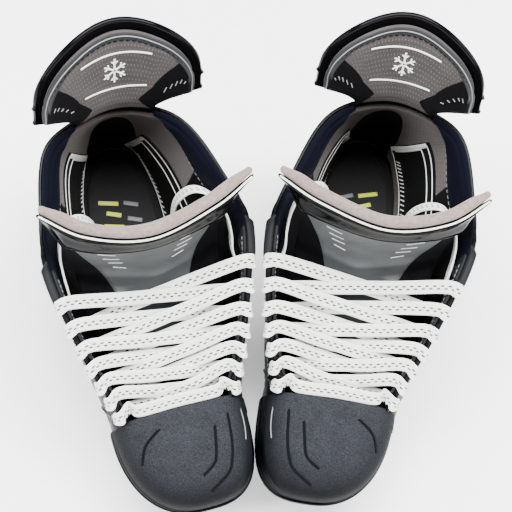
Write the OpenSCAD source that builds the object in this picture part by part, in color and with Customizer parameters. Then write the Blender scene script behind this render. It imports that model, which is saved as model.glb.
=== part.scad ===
// Pair of laced ice hockey skates, standing on their runners with the toes together.
// Each skate is modelled once, as the wearer's left one, in its own frame: +X is the outer
// side, -Y is the toe, Z = 0 is the ice. The right skate is its mirror image.

/* [Pair] */
// Toe-in angle of each skate, degrees
splay = 12; // [8:1:14]
// Distance from the middle of the pair to the centre of each skate
pair_x = 70; // [70:1:90]
// Shift that centres the pair from front to back
pair_y = 3.6; // [0:0.2:8]

/* [Sole] */
// Height of the boot's bottom at the back of the toe cap
deck_z = 65.8; // [62:0.2:70]
// Forward slope of the boot's bottom, degrees
pitch = 2.3; // [1:0.1:3]
// Thickness of the outsole
outsole_t = 4; // [3:0.5:5]
// Thickness of the footbed
footbed_t = 4.4; // [3:0.2:5]

/* [Toe cap] */
// Back edge of the toe cap along Y
cap_y = -80; // [-82:1:-76]
// Length of the toe cap
cap_l = 66; // [64:1:74]
// Half of the toe cap's width at its back edge
cap_w = 47; // [46:0.5:50]
// Height of the toe cap at its back edge
cap_h = 50; // [46:1:52]

/* [Shell and padding] */
// Thickness of the composite shell
shell_t = 2.4; // [2:0.1:2.6]
// Thickness of the ankle lining
liner_t = 3.4; // [2:0.2:4]
// Thickness of a collar pad in its middle
pad_t = 9; // [6:0.5:10]

/* [Tendon guard] */
// Half of the guard's width
guard_w = 53; // [48:1:54]
// Rise of the guard's top above its widest point
guard_rise = 44; // [38:1:48]
// Backward lean of the guard, degrees
guard_lean = 17; // [12:1:22]

/* [Runner] */
// Thickness of the steel
steel_t = 3; // [2.8:0.1:3]
// Room on each side of the steel in its slot
steel_gap = 0.3; // [0.2:0.05:0.5]
// Half length of the flat middle of the edge
flat_half = 45; // [30:5:60]
// Radius of the curved ends of the edge
edge_r = 900; // [700:50:1500]

/* [Laces] */
// Width of the flat lace
lace_w = 10; // [8:0.5:10]
// Thickness of the flat lace
lace_t = 1.5; // [1:0.1:1.8]
// Depth of the eyelets below the edge of the throat
eyelet_drop = 9; // [8:0.5:11]

/* [Hidden] */
$fn = 48;
// Room between two layers that lie on each other
layer_gap = 0.4;

// ---- places ----
module left() translate([pair_x, pair_y, 0]) rotate(-splay) children();
module right() mirror([1, 0, 0]) left() children();
// The boot's bottom plane, as a frame whose Z = 0 is that plane
module deck() translate([0, cap_y, deck_z]) rotate([pitch, 0, 0]) translate([0, -cap_y, 0]) children();
function deck_at(y) = deck_z + (y - cap_y) * tan(pitch);

// ---- curves and surfaces ----
function steps(a, b, n) = [for (i = [0:n]) a + (b - a) * i / n];
function unit(a) = a / norm(a);
function spow(a, e) = sign(a) * pow(abs(a), e);
function blend4(a, b, c, d, t) =
    0.5 * (2 * b + (c - a) * t + (2 * a - 5 * b + 4 * c - d) * t * t
    + (3 * b - a - 3 * c + d) * t * t * t);
function knot(p, i) =
    i < 0 ? 2 * p[0] - p[1] : i >= len(p) ? 2 * p[len(p) - 1] - p[len(p) - 2] : p[i];
function curve(p, u) =
    let(k = max(0, min(floor(u), len(p) - 2)))
    blend4(knot(p, k - 1), knot(p, k), knot(p, k + 1), knot(p, k + 2), u - k);
function net(rows, u, v) = curve([for (row = rows) curve(row, u)], v);
function normal_at(f, u, v) =
    let(e = 0.01) unit(cross(f(u + e, v) - f(u - e, v), f(u, v + e) - f(u, v - e)));
function depth(d, u, v) = is_num(d) ? d : d(u, v);
function layer(f, us, vs, d) =
    [for (v = vs) for (u = us) f(u, v) + depth(d, u, v) * normal_at(f, u, v)];

// A solid between two offsets of the surface f. With tips, the last row closes on a point.
module slab(f, us, vs, outer, inner, tips = []) {
    nu = len(us);
    nv = len(vs);
    n = nu * nv;
    closed = len(tips) == 2;
    points = concat(layer(f, us, vs, outer), layer(f, us, vs, inner), tips);
    quads = [for (j = [0:nv - 2]) for (i = [0:nu - 2])
        let(a = i + nu * j, b = a + 1, c = b + nu, d = a + nu)
        each [[a, d, c], [a, c, b], [n + a, n + b, n + c], [n + a, n + c, n + d]]];
    foot = [for (i = [0:nu - 2]) each [[i, i + 1, n + i + 1], [i, n + i + 1, n + i]]];
    head = [for (i = [0:nu - 2])
        let(a = i + nu * (nv - 1), b = a + 1)
        each closed ? [[a, 2 * n, b], [n + a, n + b, 2 * n + 1]]
            : [[b, a, n + a], [b, n + a, n + b]]];
    sides = [for (j = [0:nv - 2])
        let(a = nu * j, d = a + nu, b = a + nu - 1, c = b + nu)
        each [[d, a, n + a], [d, n + a, n + d], [b, c, n + c], [b, n + c, n + b]]];
    a = nu * (nv - 1);
    b = n - 1;
    t = 2 * n;
    ends = closed ? [[t, a, n + a], [t, n + a, t + 1], [b, t, t + 1], [b, t + 1, n + b]] : [];
    polyhedron(points, concat(quads, foot, head, sides, ends));
}

// A flat strip along rings of [point, width, thickness], its width near the direction side
module ribbon(rings, side) {
    last = len(rings) - 1;
    function along(i) = unit(rings[min(i + 1, last)][0] - rings[max(i - 1, 0)][0]);
    points = [for (i = [0:last])
        let(t = along(i), w = unit(side - (side * t) * t), n = cross(t, w))
        for (c = [[1, 1], [-1, 1], [-1, -1], [1, -1]])
        rings[i][0] + c[0] * w * rings[i][1] / 2 + c[1] * n * rings[i][2] / 2];
    walls = [for (i = [0:last - 1]) for (k = [0:3])
        let(a = 4 * i + k, b = 4 * i + (k + 1) % 4)
        each [[a, b + 4, b], [a, a + 4, b + 4]]];
    caps = [[0, 1, 2], [0, 2, 3], [4 * last + 2, 4 * last + 1, 4 * last],
        [4 * last + 3, 4 * last + 2, 4 * last]];
    polyhedron(points, concat(walls, caps));
}

// ---- toe cap: u runs over the toe from the outer side, v from the back edge to the tip ----
cap_shift = -7;
cap_square = 0.62;
function cap(u, v) =
    let(t = 90 * v, a = 180 * u, run = spow(sin(t), 0.8), w = cap_w * pow(cos(t), 0.75),
        h = cap_h * pow(cos(t), 0.5), y = cap_y - cap_l * run)
    [cap_shift * run * run + w * spow(cos(a), cap_square), y,
        deck_at(y) + h * pow(max(sin(a), 0), cap_square)];

// ---- shell: u runs from the outer throat round the heel to the inner throat ----
cap_stations = [0, 15, 30, 48] / 180;
function joint_point(k, side) =
    let(p = cap(side > 0 ? cap_stations[k] : 1 - cap_stations[k], 0)) p + [0, 0.4, 0];
function at_deck(x, y) = [x, y, deck_at(y)];
shell_rows = [
    [joint_point(0, 1), at_deck(45, -43), at_deck(38, 0), at_deck(34, 45), at_deck(32, 88),
        at_deck(22, 116), at_deck(0, 125), at_deck(-21, 116), at_deck(-31, 88),
        at_deck(-31, 45), at_deck(-33, 0), at_deck(-43, -43), joint_point(0, -1)],
    [joint_point(1, 1), [51, -43, 90], [46, 0, 95], [39, 45, 98], [37, 88, 100],
        [26, 120, 102], [0, 132, 102], [-26, 120, 102], [-36, 88, 100],
        [-38, 45, 98], [-43, 0, 95], [-51, -43, 90], joint_point(1, -1)],
    [joint_point(2, 1), [54, -40, 110], [58, 5, 140], [51, 46, 150], [43, 88, 155],
        [26, 110, 158], [0, 121, 160], [-26, 110, 158], [-41, 86, 155],
        [-50, 46, 150], [-59, 5, 140], [-55, -40, 110], joint_point(2, -1)],
    [joint_point(3, 1), [54, -37, 144], [65, 14, 193], [60, 52, 204], [49, 87, 207],
        [28, 101, 209], [0, 106, 210], [-27, 99, 209], [-45, 83, 207],
        [-58, 50, 204], [-67, 13, 193], [-56, -37, 144], joint_point(3, -1)]];
shell = function(u, v) net(shell_rows, u, v);
shell_top = 3;
// The throat's edge on the outer side is u = 0 to 2, and 12 to 10 on the inner side
function rim_u(side, u) = side > 0 ? u : 12 - u;
// A point on the shell at a depth below its top edge, in millimetres
function below_edge(u, s) =
    shell(u, shell_top - s / norm(shell(u, shell_top) - shell(u, shell_top - 1)));
edge_band = function(u, v) below_edge(u, -v);

module shell_part(u0, u1, n) slab(shell, steps(u0, u1, n), steps(0, shell_top, 8), 0, -shell_t);

module toe_cap() color("#1a1b1d") {
    tip_y = cap_y - cap_l;
    slab(function(u, v) cap(u, v), steps(0, 1, 18),
        [0, 0.03, 0.1, 0.2, 0.32, 0.45, 0.58, 0.7, 0.8, 0.88, 0.94],
        0, -2.2, [[cap_shift, tip_y, deck_at(tip_y) + 3], [cap_shift, tip_y + 2.4, deck_at(tip_y) + 3]]);
}
module shell_outer() color("#141518") shell_part(0, 4, 14);
module heel_counter() color("#101114") shell_part(4.01, 7.99, 14);
module shell_inner() color("#141518") shell_part(8, 12, 14);

// ---- padding ----
// The lining is thickest beside and behind the ankle bones
ankle_bulge = 5.5;
function lining_depth(u, v) =
    let(beside = exp(-pow((min(u, 12 - u) - 4.6) / 1.2, 2)), level = exp(-pow((v - 1.35) / 0.8, 2)))
    -shell_t - layer_gap - liner_t - ankle_bulge * beside * level;
module liner() color("#837c76")
    slab(shell, steps(1.2, 10.8, 26), steps(0.3, 2.35, 7), -shell_t - layer_gap,
        function(u, v) lining_depth(u, v));

pad_low = 2.42;
pad_high = 3.05;
function pad_bulge(v) =
    let(round = sqrt(max(0, sin(180 * (v - pad_low) / (pad_high - pad_low)))))
    -shell_t - layer_gap - pad_t * (0.35 + 0.65 * round);
module collar_pad(u0, u1) color("#20222f")
    slab(shell, steps(u0, u1, 10), steps(pad_low, pad_high, 6), -shell_t - layer_gap,
        function(u, v) pad_bulge(v));
module collar_pad_outer() collar_pad(3.1, 4.9);
module collar_pad_inner() collar_pad(7.1, 8.9);

facing_t = 2;
module facing(side) color("#3a3c40")
    slab(edge_band, side > 0 ? steps(0.08, 1.98, 14) : steps(10.02, 11.92, 14),
        [-15, -10, -5, 0], -shell_t - layer_gap, -shell_t - layer_gap - facing_t);
module facing_outer() facing(1);
module facing_inner() facing(-1);

// ---- eyelets ----
eyelet_count = 8;
laced_rows = 7;
function eyelet_u(k) = 0.14 + 1.72 * k / (eyelet_count - 1);
eyelet_r = 4;
hole_r = 2.4;
module eyelet(side, k) {
    u = rim_u(side, eyelet_u(k));
    n = normal_at(edge_band, u, -eyelet_drop);
    translate(below_edge(u, eyelet_drop))
        rotate([0, acos(n[2]), atan2(n[1], n[0])])
        rotate_extrude($fn = 24)
        polygon([[hole_r, 1], [hole_r + 0.4, 1.3], [eyelet_r, 0.8], [eyelet_r, 0.1],
            [hole_r + 0.5, 0.1], [hole_r + 0.5, -shell_t - 2.6], [eyelet_r - 0.3, -shell_t - 2.6],
            [eyelet_r - 0.3, -shell_t - 3.1], [hole_r, -shell_t - 3.1]]);
}
module eyelets() color("#2b2c2f")
    for (side = [1, -1]) for (k = [0:eyelet_count - 1]) eyelet(side, k);

// ---- tongue: u runs from the inner side to the outer side, v up from the toe ----
function across(y, z, w, y_side, z_side, flare = 0) = [
    [-w - flare, y_side - flare, z_side],
    [-0.6 * (w + flare), (2 * y + y_side) / 3, (2 * z + z_side) / 3], [0, y, z],
    [0.6 * w, (2 * y + y_side) / 3, (2 * z + z_side) / 3], [w, y_side, z_side]];
tongue_rows = [
    across(-87, 99, 34, -87, 90), across(-54, 115, 39, -56, 106),
    across(-22, 146, 43, -22, 136), across(6, 173, 46, 10, 166),
    across(11, 198, 50, 21, 194), across(10, 226, 57, 30, 222, 3), across(3, 248, 64, 36, 243, 7)];
tongue = function(u, v) net(tongue_rows, u, v);
bend_v = 3;
rim_v = 6;
tongue_t = 2.2;
module tongue_base() color("#26272a")
    slab(tongue, steps(0, 4, 10), steps(0, bend_v - 0.08, 8), 0, -tongue_t - 3);
module tongue_shell() color("#26272a")
    slab(tongue, steps(0, 4, 12), steps(bend_v + 0.04, rim_v - 0.12, 8), 0, -tongue_t);
module tongue_hood() color("#0c0d0f")
    slab(tongue, steps(0.1, 3.9, 12), steps(5.1, rim_v - 0.12, 3), 2.2, layer_gap);
felt_t = 7;
module tongue_felt() color("#a99c93")
    slab(tongue, steps(0, 4, 14), steps(bend_v + 0.1, rim_v, 8), -tongue_t - layer_gap,
        -tongue_t - layer_gap - felt_t);

// ---- tendon guard: u from -1 to 1 across from the outer side, v up ----
seam_gap = 1.6;
neck_w = 26;
neck_top = shell(6, shell_top) + [0, 0, seam_gap];
// The guard leans a little towards the inner side as well as backwards
guard_tilt = 5;
function guard_point(u, v, inset) =
    let(a = 90 * u, x = -(guard_w - inset) * sin(a), out = max(0, (abs(x) - neck_w) / (guard_w - neck_w)),
        low = neck_top[2] + 4 * inset / 10 + 24 * pow(out, 0.7),
        high = neck_top[2] + 26 + (guard_rise + 4 - inset) * pow(cos(a), 0.68),
        z = low + (high - low) * v,
        wrap = 7 * pow(x / neck_w, 2) / (1 + 0.18 * pow(x / neck_w, 2)))
    [x - (z - neck_top[2]) * tan(guard_tilt),
        neck_top[1] + (z - neck_top[2]) * tan(guard_lean) - wrap, z];
guard = function(u, v) guard_point(u, v, 0);
guard_face = function(u, v) guard_point(u, v, 5);
guard_t = 2.6;
guard_span = steps(-0.93, 0.93, 16);
pad_face_t = 4.2;
module tendon_guard() color("#111215")
    slab(guard, guard_span, steps(0, 1, 7), 0, -guard_t);
module guard_pad() color("#7d7772")
    slab(guard_face, guard_span, steps(0.02, 1, 6), -guard_t - layer_gap, -guard_t - layer_gap - pad_face_t);

// ---- outsole and footbed ----
function sole_outline(inset) = concat(
    [for (u = steps(0.02, 0.98, 24)) let(t = 180 * u - 90, w = cap_w - inset, run = pow(cos(t), 0.8))
        [cap_shift * run * run - w * spow(sin(t), 0.75), cap_y - (cap_l - inset) * run]],
    [for (u = steps(11.9, 0.1, 36)) let(p = shell(u, 0), s = 1 - inset / max(25, norm([p[0], 0])))
        [p[0] * s, p[1] - inset * max(0, (p[1] - 90) / 35)]]);
rivet_r = 2;
rivet_places = concat(
    [for (y = [-118, -96, -72, -48]) for (s = [1, -1]) [s * (y < -110 ? 22 : 29), y]],
    [for (y = [60, 82, 104]) for (s = [1, -1]) [s * 21, y]]);
module rivet_bores() for (p = rivet_places)
    translate([p[0], p[1], -20]) cylinder(h = 30, r = rivet_r, $fn = 24);
module outsole() color("#0e0f11") deck() difference() {
    translate([0, 0, -outsole_t]) linear_extrude(outsole_t - 0.2) polygon(sole_outline(0));
    rivet_bores();
}
module footbed() color("#1c1d1f") deck() translate([0, 0, 1])
    linear_extrude(footbed_t) polygon(sole_outline(8));
module sole_rivets() color("#b7bcc0") deck() for (p = rivet_places) translate([p[0], p[1], 0]) {
    translate([0, 0, -outsole_t - flange_t]) cylinder(h = outsole_t + flange_t - 0.4, r = rivet_r, $fn = 24);
    translate([0, 0, -outsole_t - flange_t - 1.4]) cylinder(h = 1.4, r1 = 3, r2 = 4.2, $fn = 24);
}

// ---- blade holder ----
flange_t = 4;
rail_half = 5.5;
rail_low = 18;
rail_high = 35;
module plate(y0, y1, w, t) linear_extrude(t) hull() {
    translate([0, y0 + w]) circle(w);
    translate([0, y1 - w]) circle(w);
}
// One tower, from the rail up to the flange
module tower(y0, y1, w, lean) hull() {
    deck() translate([0, 0, 0.8 - outsole_t - flange_t]) plate(y0, y1, w, 0.5);
    translate([-rail_half, y0 - lean, rail_high - 3]) cube([2 * rail_half, y1 - y0 + 2 * lean, 2]);
}
rail_front = -134;
rail_back = 138;
module rail() translate([-rail_half, 0, 0]) rotate([90, 0, 90]) linear_extrude(2 * rail_half)
    polygon([[rail_front + 8, rail_low], [rail_back - 8, rail_low], [rail_back, rail_low + 7],
        [rail_back - 3, rail_high - 4], [rail_back - 22, rail_high], [40, rail_high],
        [20, rail_high - 3], [-20, rail_high - 3], [-36, rail_high], [rail_front + 16, rail_high],
        [rail_front + 2, rail_high - 6], [rail_front, rail_low + 8]]);
tab_y = 112;
pin_y = 92;
pin_z = 52;
pin_r = 2;
pocket_half = 4.5;
module holder() color("#15161a") difference() {
    union() {
        deck() translate([0, 0, -outsole_t - flange_t]) {
            plate(-126, -38, 35, flange_t);
            plate(50, 114, 27, flange_t);
        }
        tower(-112, -50, 18, 8);
        tower(62, 110, 15, 10);
        rail();
    }
    translate([-steel_t / 2 - steel_gap, rail_front - 1, 0])
        cube([steel_t + 2 * steel_gap, rail_back - rail_front + 2, 30.5]);
    translate([-steel_t / 2 - steel_gap, tab_y - 9, 0]) cube([steel_t + 2 * steel_gap, 18, 46]);
    translate([-pocket_half, 50, 37]) cube([2 * pocket_half, 60, 22]);
    translate([-20, pin_y, pin_z]) rotate([0, 90, 0]) cylinder(h = 40, r = pin_r, $fn = 32);
    deck() rivet_bores();
}

// ---- runner, hooked at the front and held by its tab at the back ----
nose_r = 11;
nose_z = 14;
nose_front = -122;
nose_back = 125;
runner_top = 29;
function edge_z(y) = let(d = max(0, abs(y) - flat_half)) edge_r - sqrt(edge_r * edge_r - d * d);
module runner() color("#c9ccd0") translate([-steel_t / 2, 0, 0]) rotate([90, 0, 90])
    linear_extrude(steel_t) polygon(concat(
        [for (y = steps(nose_front + 4, nose_back - 3, 24)) [y, edge_z(y)]],
        [for (a = [-85:15:50]) [nose_back + nose_r * cos(a), nose_z + nose_r * sin(a)]],
        [[tab_y + 4, runner_top], [tab_y + 3, runner_top + 12], [tab_y - 3, runner_top + 13],
            [tab_y - 4, runner_top], [nose_front + 2, runner_top]],
        [for (a = [130:15:265]) [nose_front + nose_r * cos(a), nose_z + nose_r * sin(a)]]));

// ---- quick-release trigger in the back tower ----
trigger_half = 3.5;
bore_gap = 0.05;
module trigger() color("#2a2b2e") translate([-trigger_half, 0, 0]) rotate([90, 0, 90])
    difference() {
        union() {
            translate([pin_y, pin_z, 0]) cylinder(h = 2 * trigger_half, r = 4.5, $fn = 32);
            translate([pin_y, pin_z, 0]) linear_extrude(2 * trigger_half)
                polygon([[-4, 3.5], [-24, -6], [-27, -13], [-23, -13.5], [-18, -8], [-2, -6],
                    [8, -10], [13, -11], [14, -8], [6, -1], [3, 3.8]]);
        }
        translate([pin_y, pin_z, -1])
            cylinder(h = 2 * trigger_half + 2, r = pin_r + bore_gap, $fn = 32);
    }
module trigger_pin() color("#b7bcc0") translate([-9, pin_y, pin_z]) rotate([0, 90, 0])
    cylinder(h = 18, r = pin_r, $fn = 32);
module trigger_spring() color("#9aa0a6") for (s = [1, -1])
    translate([s * (trigger_half + 0.5), pin_y, pin_z]) rotate([0, 90, 0])
    rotate_extrude($fn = 32) translate([pin_r + 0.5, 0]) circle(0.35, $fn = 16);

// ---- laces ----
throat_up = unit(shell(2, shell_top) - shell(0, shell_top));
slope_side = unit([0, throat_up[1], throat_up[2]]);
slope_up = unit([0, -throat_up[2], throat_up[1]]);
function side_point(side, k, s, out) =
    let(u = rim_u(side, eyelet_u(k)))
    below_edge(u, s) + out * normal_at(edge_band, u, -s);
// The way over the edge, down the outside, in through an eyelet and up the inside
function through(side, k) = [
    [side_point(side, k, 0, -9) + 2.4 * slope_up, lace_w, lace_t],
    [side_point(side, k, 0, 0) + 2.2 * slope_up, lace_w, lace_t],
    [side_point(side, k, 3, 2.4) + 0.8 * slope_up, lace_w, lace_t],
    [side_point(side, k, eyelet_drop - 1.5, 2.2), 6, 1.9],
    [side_point(side, k, eyelet_drop, -1), 4, 2.4],
    [side_point(side, k, eyelet_drop - 0.5, -6), 4.6, 2.2],
    [side_point(side, k, eyelet_drop - 3.5, -11), 7, 1.7]];
function cross_side(k, start) = k % 2 == 0 ? start : -start;
bar_z = 118.8;
// One strand lies over the other where they cross, and both lie over the tongue
function lift(k, start) = (k == 0 ? 3.5 : k == 1 ? 0.8 : 0) + 1.6 * start;
function strand(start) = [for (k = [0:laced_rows - 1])
    let(here = through(cross_side(k, start), k), last = k == laced_rows - 1,
        there = last ? here : through(-cross_side(k, start), k + 1),
        reach = there[0][0] - here[6][0],
        middle = (here[6][0] + there[0][0]) / 2 + lift(k, start) * slope_up)
    each last ? [for (i = [0:5]) here[i]]
        : concat(here, [for (s = [-0.2, 0, 0.2]) [middle + s * reach, lace_w, lace_t]])];
function reversed(p) = [for (i = [len(p) - 1:-1:0]) p[i]];
bar = [for (x = [-27, 0, 27]) [[x, cap_y + 5.5, bar_z - 2.5 * pow(x / 27, 2)], lace_w, lace_t]];
module laces() color("#f2f2ef") ribbon(concat(reversed(strand(-1)), bar, strand(1)), slope_side);

// ---- loose lace ends, tucked into the boot behind the tongue ----
end_outer = [[54.5, 3, 176], [55, 12, 184], [54.5, 23, 190], [51, 34, 193.5], [43, 42.5, 192],
    [35, 46, 182], [28.5, 46, 166], [25, 42, 148], [22, 33, 128], [18, 24, 109], [14, 11, 94],
    [8, -5, 86], [0, -16, 83], [-8, -14, 82], [-12, -3, 82.5], [-9, 8, 83]];
end_inner = [[-54.5, 4, 176], [-55.5, 13, 184], [-55, 24, 190], [-51, 35, 193.5], [-43, 43, 192],
    [-36, 47, 184], [-30, 48, 168], [-27, 46, 150], [-25, 38, 130], [-23, 28, 111],
    [-22, 16, 97], [-22, 1, 88], [-22, -14, 84], [-17, -26, 82], [-6, -31, 81.5], [5, -30, 81.5]];
function smooth(p, n) = [for (i = [0:len(p) - 2]) for (j = [0:n - 1]) curve(p, i + j / n)];
module lace_end(p, side) color("#f2f2ef") {
    start = side_point(side, laced_rows - 1, eyelet_drop - 2.5, -7.6);
    ribbon([for (q = concat([start], smooth(p, 3), [p[len(p) - 1]])) [q, lace_w - 2, lace_t]], slope_up);
}
module lace_end_outer() lace_end(end_outer, 1);
module lace_end_inner() lace_end(end_inner, -1);
tip_l = 20;
module lace_tip(p) {
    n = len(p) - 1;
    d = unit(p[n] - p[n - 1]);
    translate(p[n] + 0.3 * d)
        rotate([0, acos(d[2]), atan2(d[1], d[0])])
        cylinder(h = tip_l, r = 1.5, $fn = 24);
}
module lace_tips() color("#e8e8e6") {
    lace_tip(end_outer);
    lace_tip(end_inner);
}

left() toe_cap();  // left_toe_cap
left() shell_outer();  // left_shell_outer
left() shell_inner();  // left_shell_inner
left() heel_counter();  // left_heel_counter
left() outsole();  // left_outsole
left() footbed();  // left_footbed
left() liner();  // left_liner
left() collar_pad_outer();  // left_collar_pad_outer
left() collar_pad_inner();  // left_collar_pad_inner
left() facing_outer();  // left_facing_outer
left() facing_inner();  // left_facing_inner
left() eyelets();  // left_eyelets
left() tongue_base();  // left_tongue_base
left() tongue_shell();  // left_tongue_shell
left() tongue_hood();  // left_tongue_hood
left() tongue_felt();  // left_tongue_felt
left() tendon_guard();  // left_tendon_guard
left() guard_pad();  // left_guard_pad
left() laces();  // left_laces
left() lace_end_outer();  // left_lace_end_outer
left() lace_end_inner();  // left_lace_end_inner
left() lace_tips();  // left_lace_tips
left() holder();  // left_holder
left() sole_rivets();  // left_sole_rivets
left() runner();  // left_runner
left() trigger();  // left_trigger
left() trigger_pin();  // left_trigger_pin
left() trigger_spring();  // left_trigger_spring
right() toe_cap();  // right_toe_cap
right() shell_outer();  // right_shell_outer
right() shell_inner();  // right_shell_inner
right() heel_counter();  // right_heel_counter
right() outsole();  // right_outsole
right() footbed();  // right_footbed
right() liner();  // right_liner
right() collar_pad_outer();  // right_collar_pad_outer
right() collar_pad_inner();  // right_collar_pad_inner
right() facing_outer();  // right_facing_outer
right() facing_inner();  // right_facing_inner
right() eyelets();  // right_eyelets
right() tongue_base();  // right_tongue_base
right() tongue_shell();  // right_tongue_shell
right() tongue_hood();  // right_tongue_hood
right() tongue_felt();  // right_tongue_felt
right() tendon_guard();  // right_tendon_guard
right() guard_pad();  // right_guard_pad
right() laces();  // right_laces
right() lace_end_outer();  // right_lace_end_outer
right() lace_end_inner();  // right_lace_end_inner
right() lace_tips();  // right_lace_tips
right() holder();  // right_holder
right() sole_rivets();  // right_sole_rivets
right() runner();  // right_runner
right() trigger();  // right_trigger
right() trigger_pin();  // right_trigger_pin
right() trigger_spring();  // right_trigger_spring
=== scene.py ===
import math

import bpy
import numpy as np
from mathutils import Matrix, Vector


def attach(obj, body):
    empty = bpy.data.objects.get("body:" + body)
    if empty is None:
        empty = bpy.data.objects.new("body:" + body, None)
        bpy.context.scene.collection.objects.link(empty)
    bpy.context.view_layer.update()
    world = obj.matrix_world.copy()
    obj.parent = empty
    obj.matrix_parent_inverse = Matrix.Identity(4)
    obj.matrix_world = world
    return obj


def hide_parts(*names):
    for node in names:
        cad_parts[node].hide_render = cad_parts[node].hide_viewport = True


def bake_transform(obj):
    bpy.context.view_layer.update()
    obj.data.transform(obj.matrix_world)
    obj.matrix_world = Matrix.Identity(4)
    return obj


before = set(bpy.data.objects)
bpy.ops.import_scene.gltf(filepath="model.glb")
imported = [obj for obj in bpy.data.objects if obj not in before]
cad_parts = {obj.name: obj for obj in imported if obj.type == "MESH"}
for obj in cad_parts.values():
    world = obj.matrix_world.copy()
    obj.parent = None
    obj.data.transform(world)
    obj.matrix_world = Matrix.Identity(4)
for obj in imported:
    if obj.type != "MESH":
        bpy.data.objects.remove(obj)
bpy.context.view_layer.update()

SIDES = ("left", "right")
MM = 0.001

# ---------------------------------------------------------------- camera
CAM_PLACE = (-0.0972, -0.2075, 0.9993)
CAM_DOWN, CAM_TURN, CAM_ROLL = (math.radians(a) for a in (73.7, 23.3, 20.3))
CAM_LENS = 92.5


def make_camera():
    forward = Vector((math.sin(CAM_TURN) * math.cos(CAM_DOWN),
                      math.cos(CAM_TURN) * math.cos(CAM_DOWN), -math.sin(CAM_DOWN)))
    level = Vector((math.cos(CAM_TURN), -math.sin(CAM_TURN), 0))
    upright = level.cross(forward)
    right = level * math.cos(CAM_ROLL) + upright * math.sin(CAM_ROLL)
    up = upright * math.cos(CAM_ROLL) - level * math.sin(CAM_ROLL)
    data = bpy.data.cameras.new("camera")
    data.lens = CAM_LENS
    data.sensor_width = 36
    camera = bpy.data.objects.new("camera", data)
    bpy.context.scene.collection.objects.link(camera)
    axes = Matrix((right, up, -forward)).transposed()
    camera.matrix_world = Matrix.Translation(CAM_PLACE) @ axes.to_4x4()
    bpy.context.scene.camera = camera


make_camera()

# ---------------------------------------------------------------- surfaces, as in part.scad
# Millimetres, as the wearer's left skate: +X outer side, -Y toe, Z = 0 the ice.
PAIR_X, PAIR_Y, SPLAY = 70, 3.6, math.radians(12)
DECK_Z, PITCH = 65.8, math.radians(2.3)
CAP_Y, CAP_L, CAP_W, CAP_H, CAP_SHIFT = -80, 66, 47, 50, -7
SHELL_T, LAYER_GAP = 2.4, 0.4
# Along the shell, u runs from the toe's outer side round the heel to its inner side; up it, v ends
# at THROAT_TOP.
RIM_END, HEEL, THROAT_TOP = 12, 6.0, 3
LINED = -SHELL_T - LAYER_GAP  # where what lines the shell begins
TURN = 2 * math.pi


def place(side, points):
    """Local millimetres to metres in the shared frame."""
    p = np.asarray(points, float)
    c, s = math.cos(SPLAY), math.sin(SPLAY)
    x = PAIR_X + p[..., 0] * c + p[..., 1] * s
    y = PAIR_Y - p[..., 0] * s + p[..., 1] * c
    return np.stack([x if side == "left" else -x, y, p[..., 2]], -1) * MM


def deck_at(y):
    return DECK_Z + (y - CAP_Y) * math.tan(PITCH)


def spow(a, e):
    """A power that keeps the sign."""
    return np.sign(a) * np.abs(a) ** e


def unit(a):
    return a / np.maximum(np.linalg.norm(a, axis=-1, keepdims=True), 1e-9)


def smooth_step(a, b, x):
    t = np.clip((np.asarray(x, float) - a) / (b - a), 0, 1)
    return t * t * (3 - 2 * t)


def bell(x, middle, width):
    return np.exp(-((np.asarray(x, float) - middle) / width) ** 2)


def as_grid(u, v):
    return np.broadcast_arrays(np.asarray(u, float), np.asarray(v, float))


def lengthened(rows):
    """Rows with one more at each end, so that the curve reaches its first and last points."""
    return np.concatenate([2 * rows[:1] - rows[1:2], rows, 2 * rows[-1:] - rows[-2:-1]])


def weights(t):
    """Catmull-Rom weights of the four points around a span."""
    return np.stack([0.5 * (-t + 2 * t * t - t ** 3), 0.5 * (2 - 5 * t * t + 3 * t ** 3),
                     0.5 * (t + 4 * t * t - 3 * t ** 3), 0.5 * (-t * t + t ** 3)], -1)


def curve(points, u):
    points, u = np.asarray(points, float), np.asarray(u, float)
    k = np.clip(np.floor(u), 0, len(points) - 2).astype(int)
    w, long = weights(u - k), lengthened(points)
    return sum(w[..., j, None] * long[k + j] for j in range(4))


def net(rows, u, v):
    rows = np.asarray(rows, float)
    u, v = as_grid(u, v)
    ku = np.clip(np.floor(u), 0, rows.shape[1] - 2).astype(int)
    kv = np.clip(np.floor(v), 0, rows.shape[0] - 2).astype(int)
    wu, wv = weights(u - ku), weights(v - kv)
    long = lengthened(lengthened(rows).transpose(1, 0, 2)).transpose(1, 0, 2)
    return sum((wv[..., i] * wu[..., j])[..., None] * long[kv + i, ku + j]
               for i in range(4) for j in range(4))


def normal_at(f, u, v, e=0.01):
    return unit(np.cross(f(u + e, v) - f(u - e, v), f(u, v + e) - f(u, v - e)))


def cap(u, v):
    u, v = as_grid(u, v)
    t, a = np.radians(90 * v), np.pi * u
    run, c = spow(np.sin(t), 0.8), np.clip(np.cos(t), 0, 1)
    y = CAP_Y - CAP_L * run
    x = CAP_SHIFT * run ** 2 + CAP_W * c ** 0.75 * spow(np.cos(a), 0.62)
    z = deck_at(y) + CAP_H * c ** 0.5 * np.clip(np.sin(a), 0, None) ** 0.62
    return np.stack([x, y, z], -1)


def joint_point(k, side):
    station = (0, 15 / 180, 30 / 180, 48 / 180)[k]
    return list(cap(station if side > 0 else 1 - station, 0) + [0, 0.4, 0])


def at_deck(x, y):
    return [x, y, deck_at(y)]


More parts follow.
